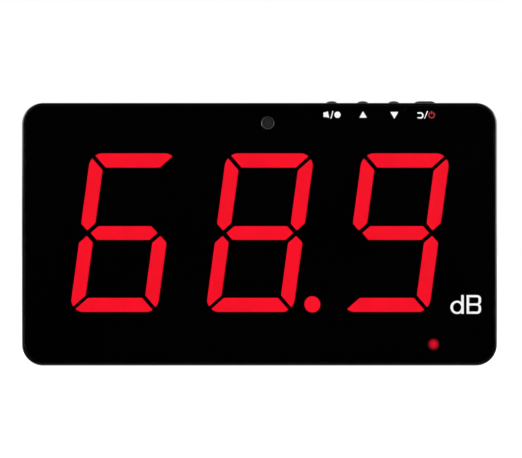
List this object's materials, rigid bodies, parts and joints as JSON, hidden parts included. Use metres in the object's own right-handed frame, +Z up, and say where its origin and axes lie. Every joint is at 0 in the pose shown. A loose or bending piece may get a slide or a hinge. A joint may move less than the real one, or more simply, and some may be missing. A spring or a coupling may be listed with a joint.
{
  "type": "sound level meter",
  "caption": "Slim black wall and desk sound level meter with a flat front window over large red seven-segment digits, a microphone hole, top-edge keys and a fold-out stand.",
  "frame": {"origin": "middle of the underside, on the surface that the meter stands on", "axes": "+X to the right seen from the front, +Y to the back, +Z up; the front faces -Y"},
  "size_m": [0.246, 0.026, 0.1376],
  "materials": {
    "case_black": "fine matt moulded texture",
    "window_smoke": "polished smoked acrylic",
    "mask_black": "black printed film",
    "foam_black": "foam tape",
    "display_red": "satin translucent sheet, lit",
    "reflector_white": "moulded white",
    "board_green": "solder mask",
    "chip_black": "moulded epoxy",
    "plated_steel": "zinc plated",
    "can_aluminium": "drawn can",
    "boot_rubber": "moulded rubber",
    "felt_grey": "pressed felt",
    "status_red": "clear red, lit",
    "key_black": "moulded satin"
  },
  "bodies": {
    "meter": {"front_case": "case_black", "rear_cover": "case_black", "front_window": "window_smoke", "mask_film": "mask_black", "window_adhesive": "foam_black", "digit_diffuser_left": "display_red", "digit_diffuser_middle": "display_red", "digit_diffuser_right": "display_red", "digit_reflector_left": "reflector_white", "digit_reflector_middle": "reflector_white", "digit_reflector_right": "reflector_white", "main_board": "board_green", "digit_board_left": "board_green", "digit_board_middle": "board_green", "digit_board_right": "board_green", "microcontroller": "chip_black", "display_driver_left": "chip_black", "display_driver_right": "chip_black", "buzzer": "chip_black", "mute_switch": "chip_black", "up_switch": "chip_black", "down_switch": "chip_black", "power_switch": "chip_black", "crystal": "plated_steel", "power_socket": "plated_steel", "microphone_lead_left": "plated_steel", "microphone_lead_right": "plated_steel", "stand_pin_left": "plated_steel", "stand_pin_right": "plated_steel", "case_screw_left_bottom": "plated_steel", "case_screw_left_middle": "plated_steel", "case_screw_left_top": "plated_steel", "case_screw_right_bottom": "plated_steel", "case_screw_right_middle": "plated_steel", "case_screw_right_top": "plated_steel", "board_screw_left_bottom": "plated_steel", "board_screw_left_top": "plated_steel", "board_screw_right_bottom": "plated_steel", "board_screw_right_top": "plated_steel", "capacitor_1": "can_aluminium", "capacitor_2": "can_aluminium", "microphone_capsule": "can_aluminium", "microphone_boot": "boot_rubber", "microphone_felt": "felt_grey", "status_led": "status_red", "status_light_pipe": "status_red"},
    "mute_button": {"mute_key": "key_black", "mute_plunger": "chip_black"},
    "up_button": {"up_key": "key_black", "up_plunger": "chip_black"},
    "down_button": {"down_key": "key_black", "down_plunger": "chip_black"},
    "power_button": {"power_key": "key_black", "power_plunger": "chip_black"},
    "stand": {"stand_leg": "case_black"}
  },
  "joints": [
    {"name": "mute_press", "type": "slide", "parent": "meter", "child": "mute_button", "axis": [0, 0, -1], "range_m": [0, 0.0005], "stiffness_N_per_m": 800, "springref_m": -0.001},
    {"name": "up_press", "type": "slide", "parent": "meter", "child": "up_button", "axis": [0, 0, -1], "range_m": [0, 0.0005], "stiffness_N_per_m": 800, "springref_m": -0.001},
    {"name": "down_press", "type": "slide", "parent": "meter", "child": "down_button", "axis": [0, 0, -1], "range_m": [0, 0.0005], "stiffness_N_per_m": 800, "springref_m": -0.001},
    {"name": "power_press", "type": "slide", "parent": "meter", "child": "power_button", "axis": [0, 0, -1], "range_m": [0, 0.0005], "stiffness_N_per_m": 800, "springref_m": -0.001},
    {"name": "stand_swing", "type": "hinge", "parent": "meter", "child": "stand", "pos_m": [0, 0.0106, 0.094], "axis": [1, 0, 0], "range_deg": [0, 35]}
  ]
}
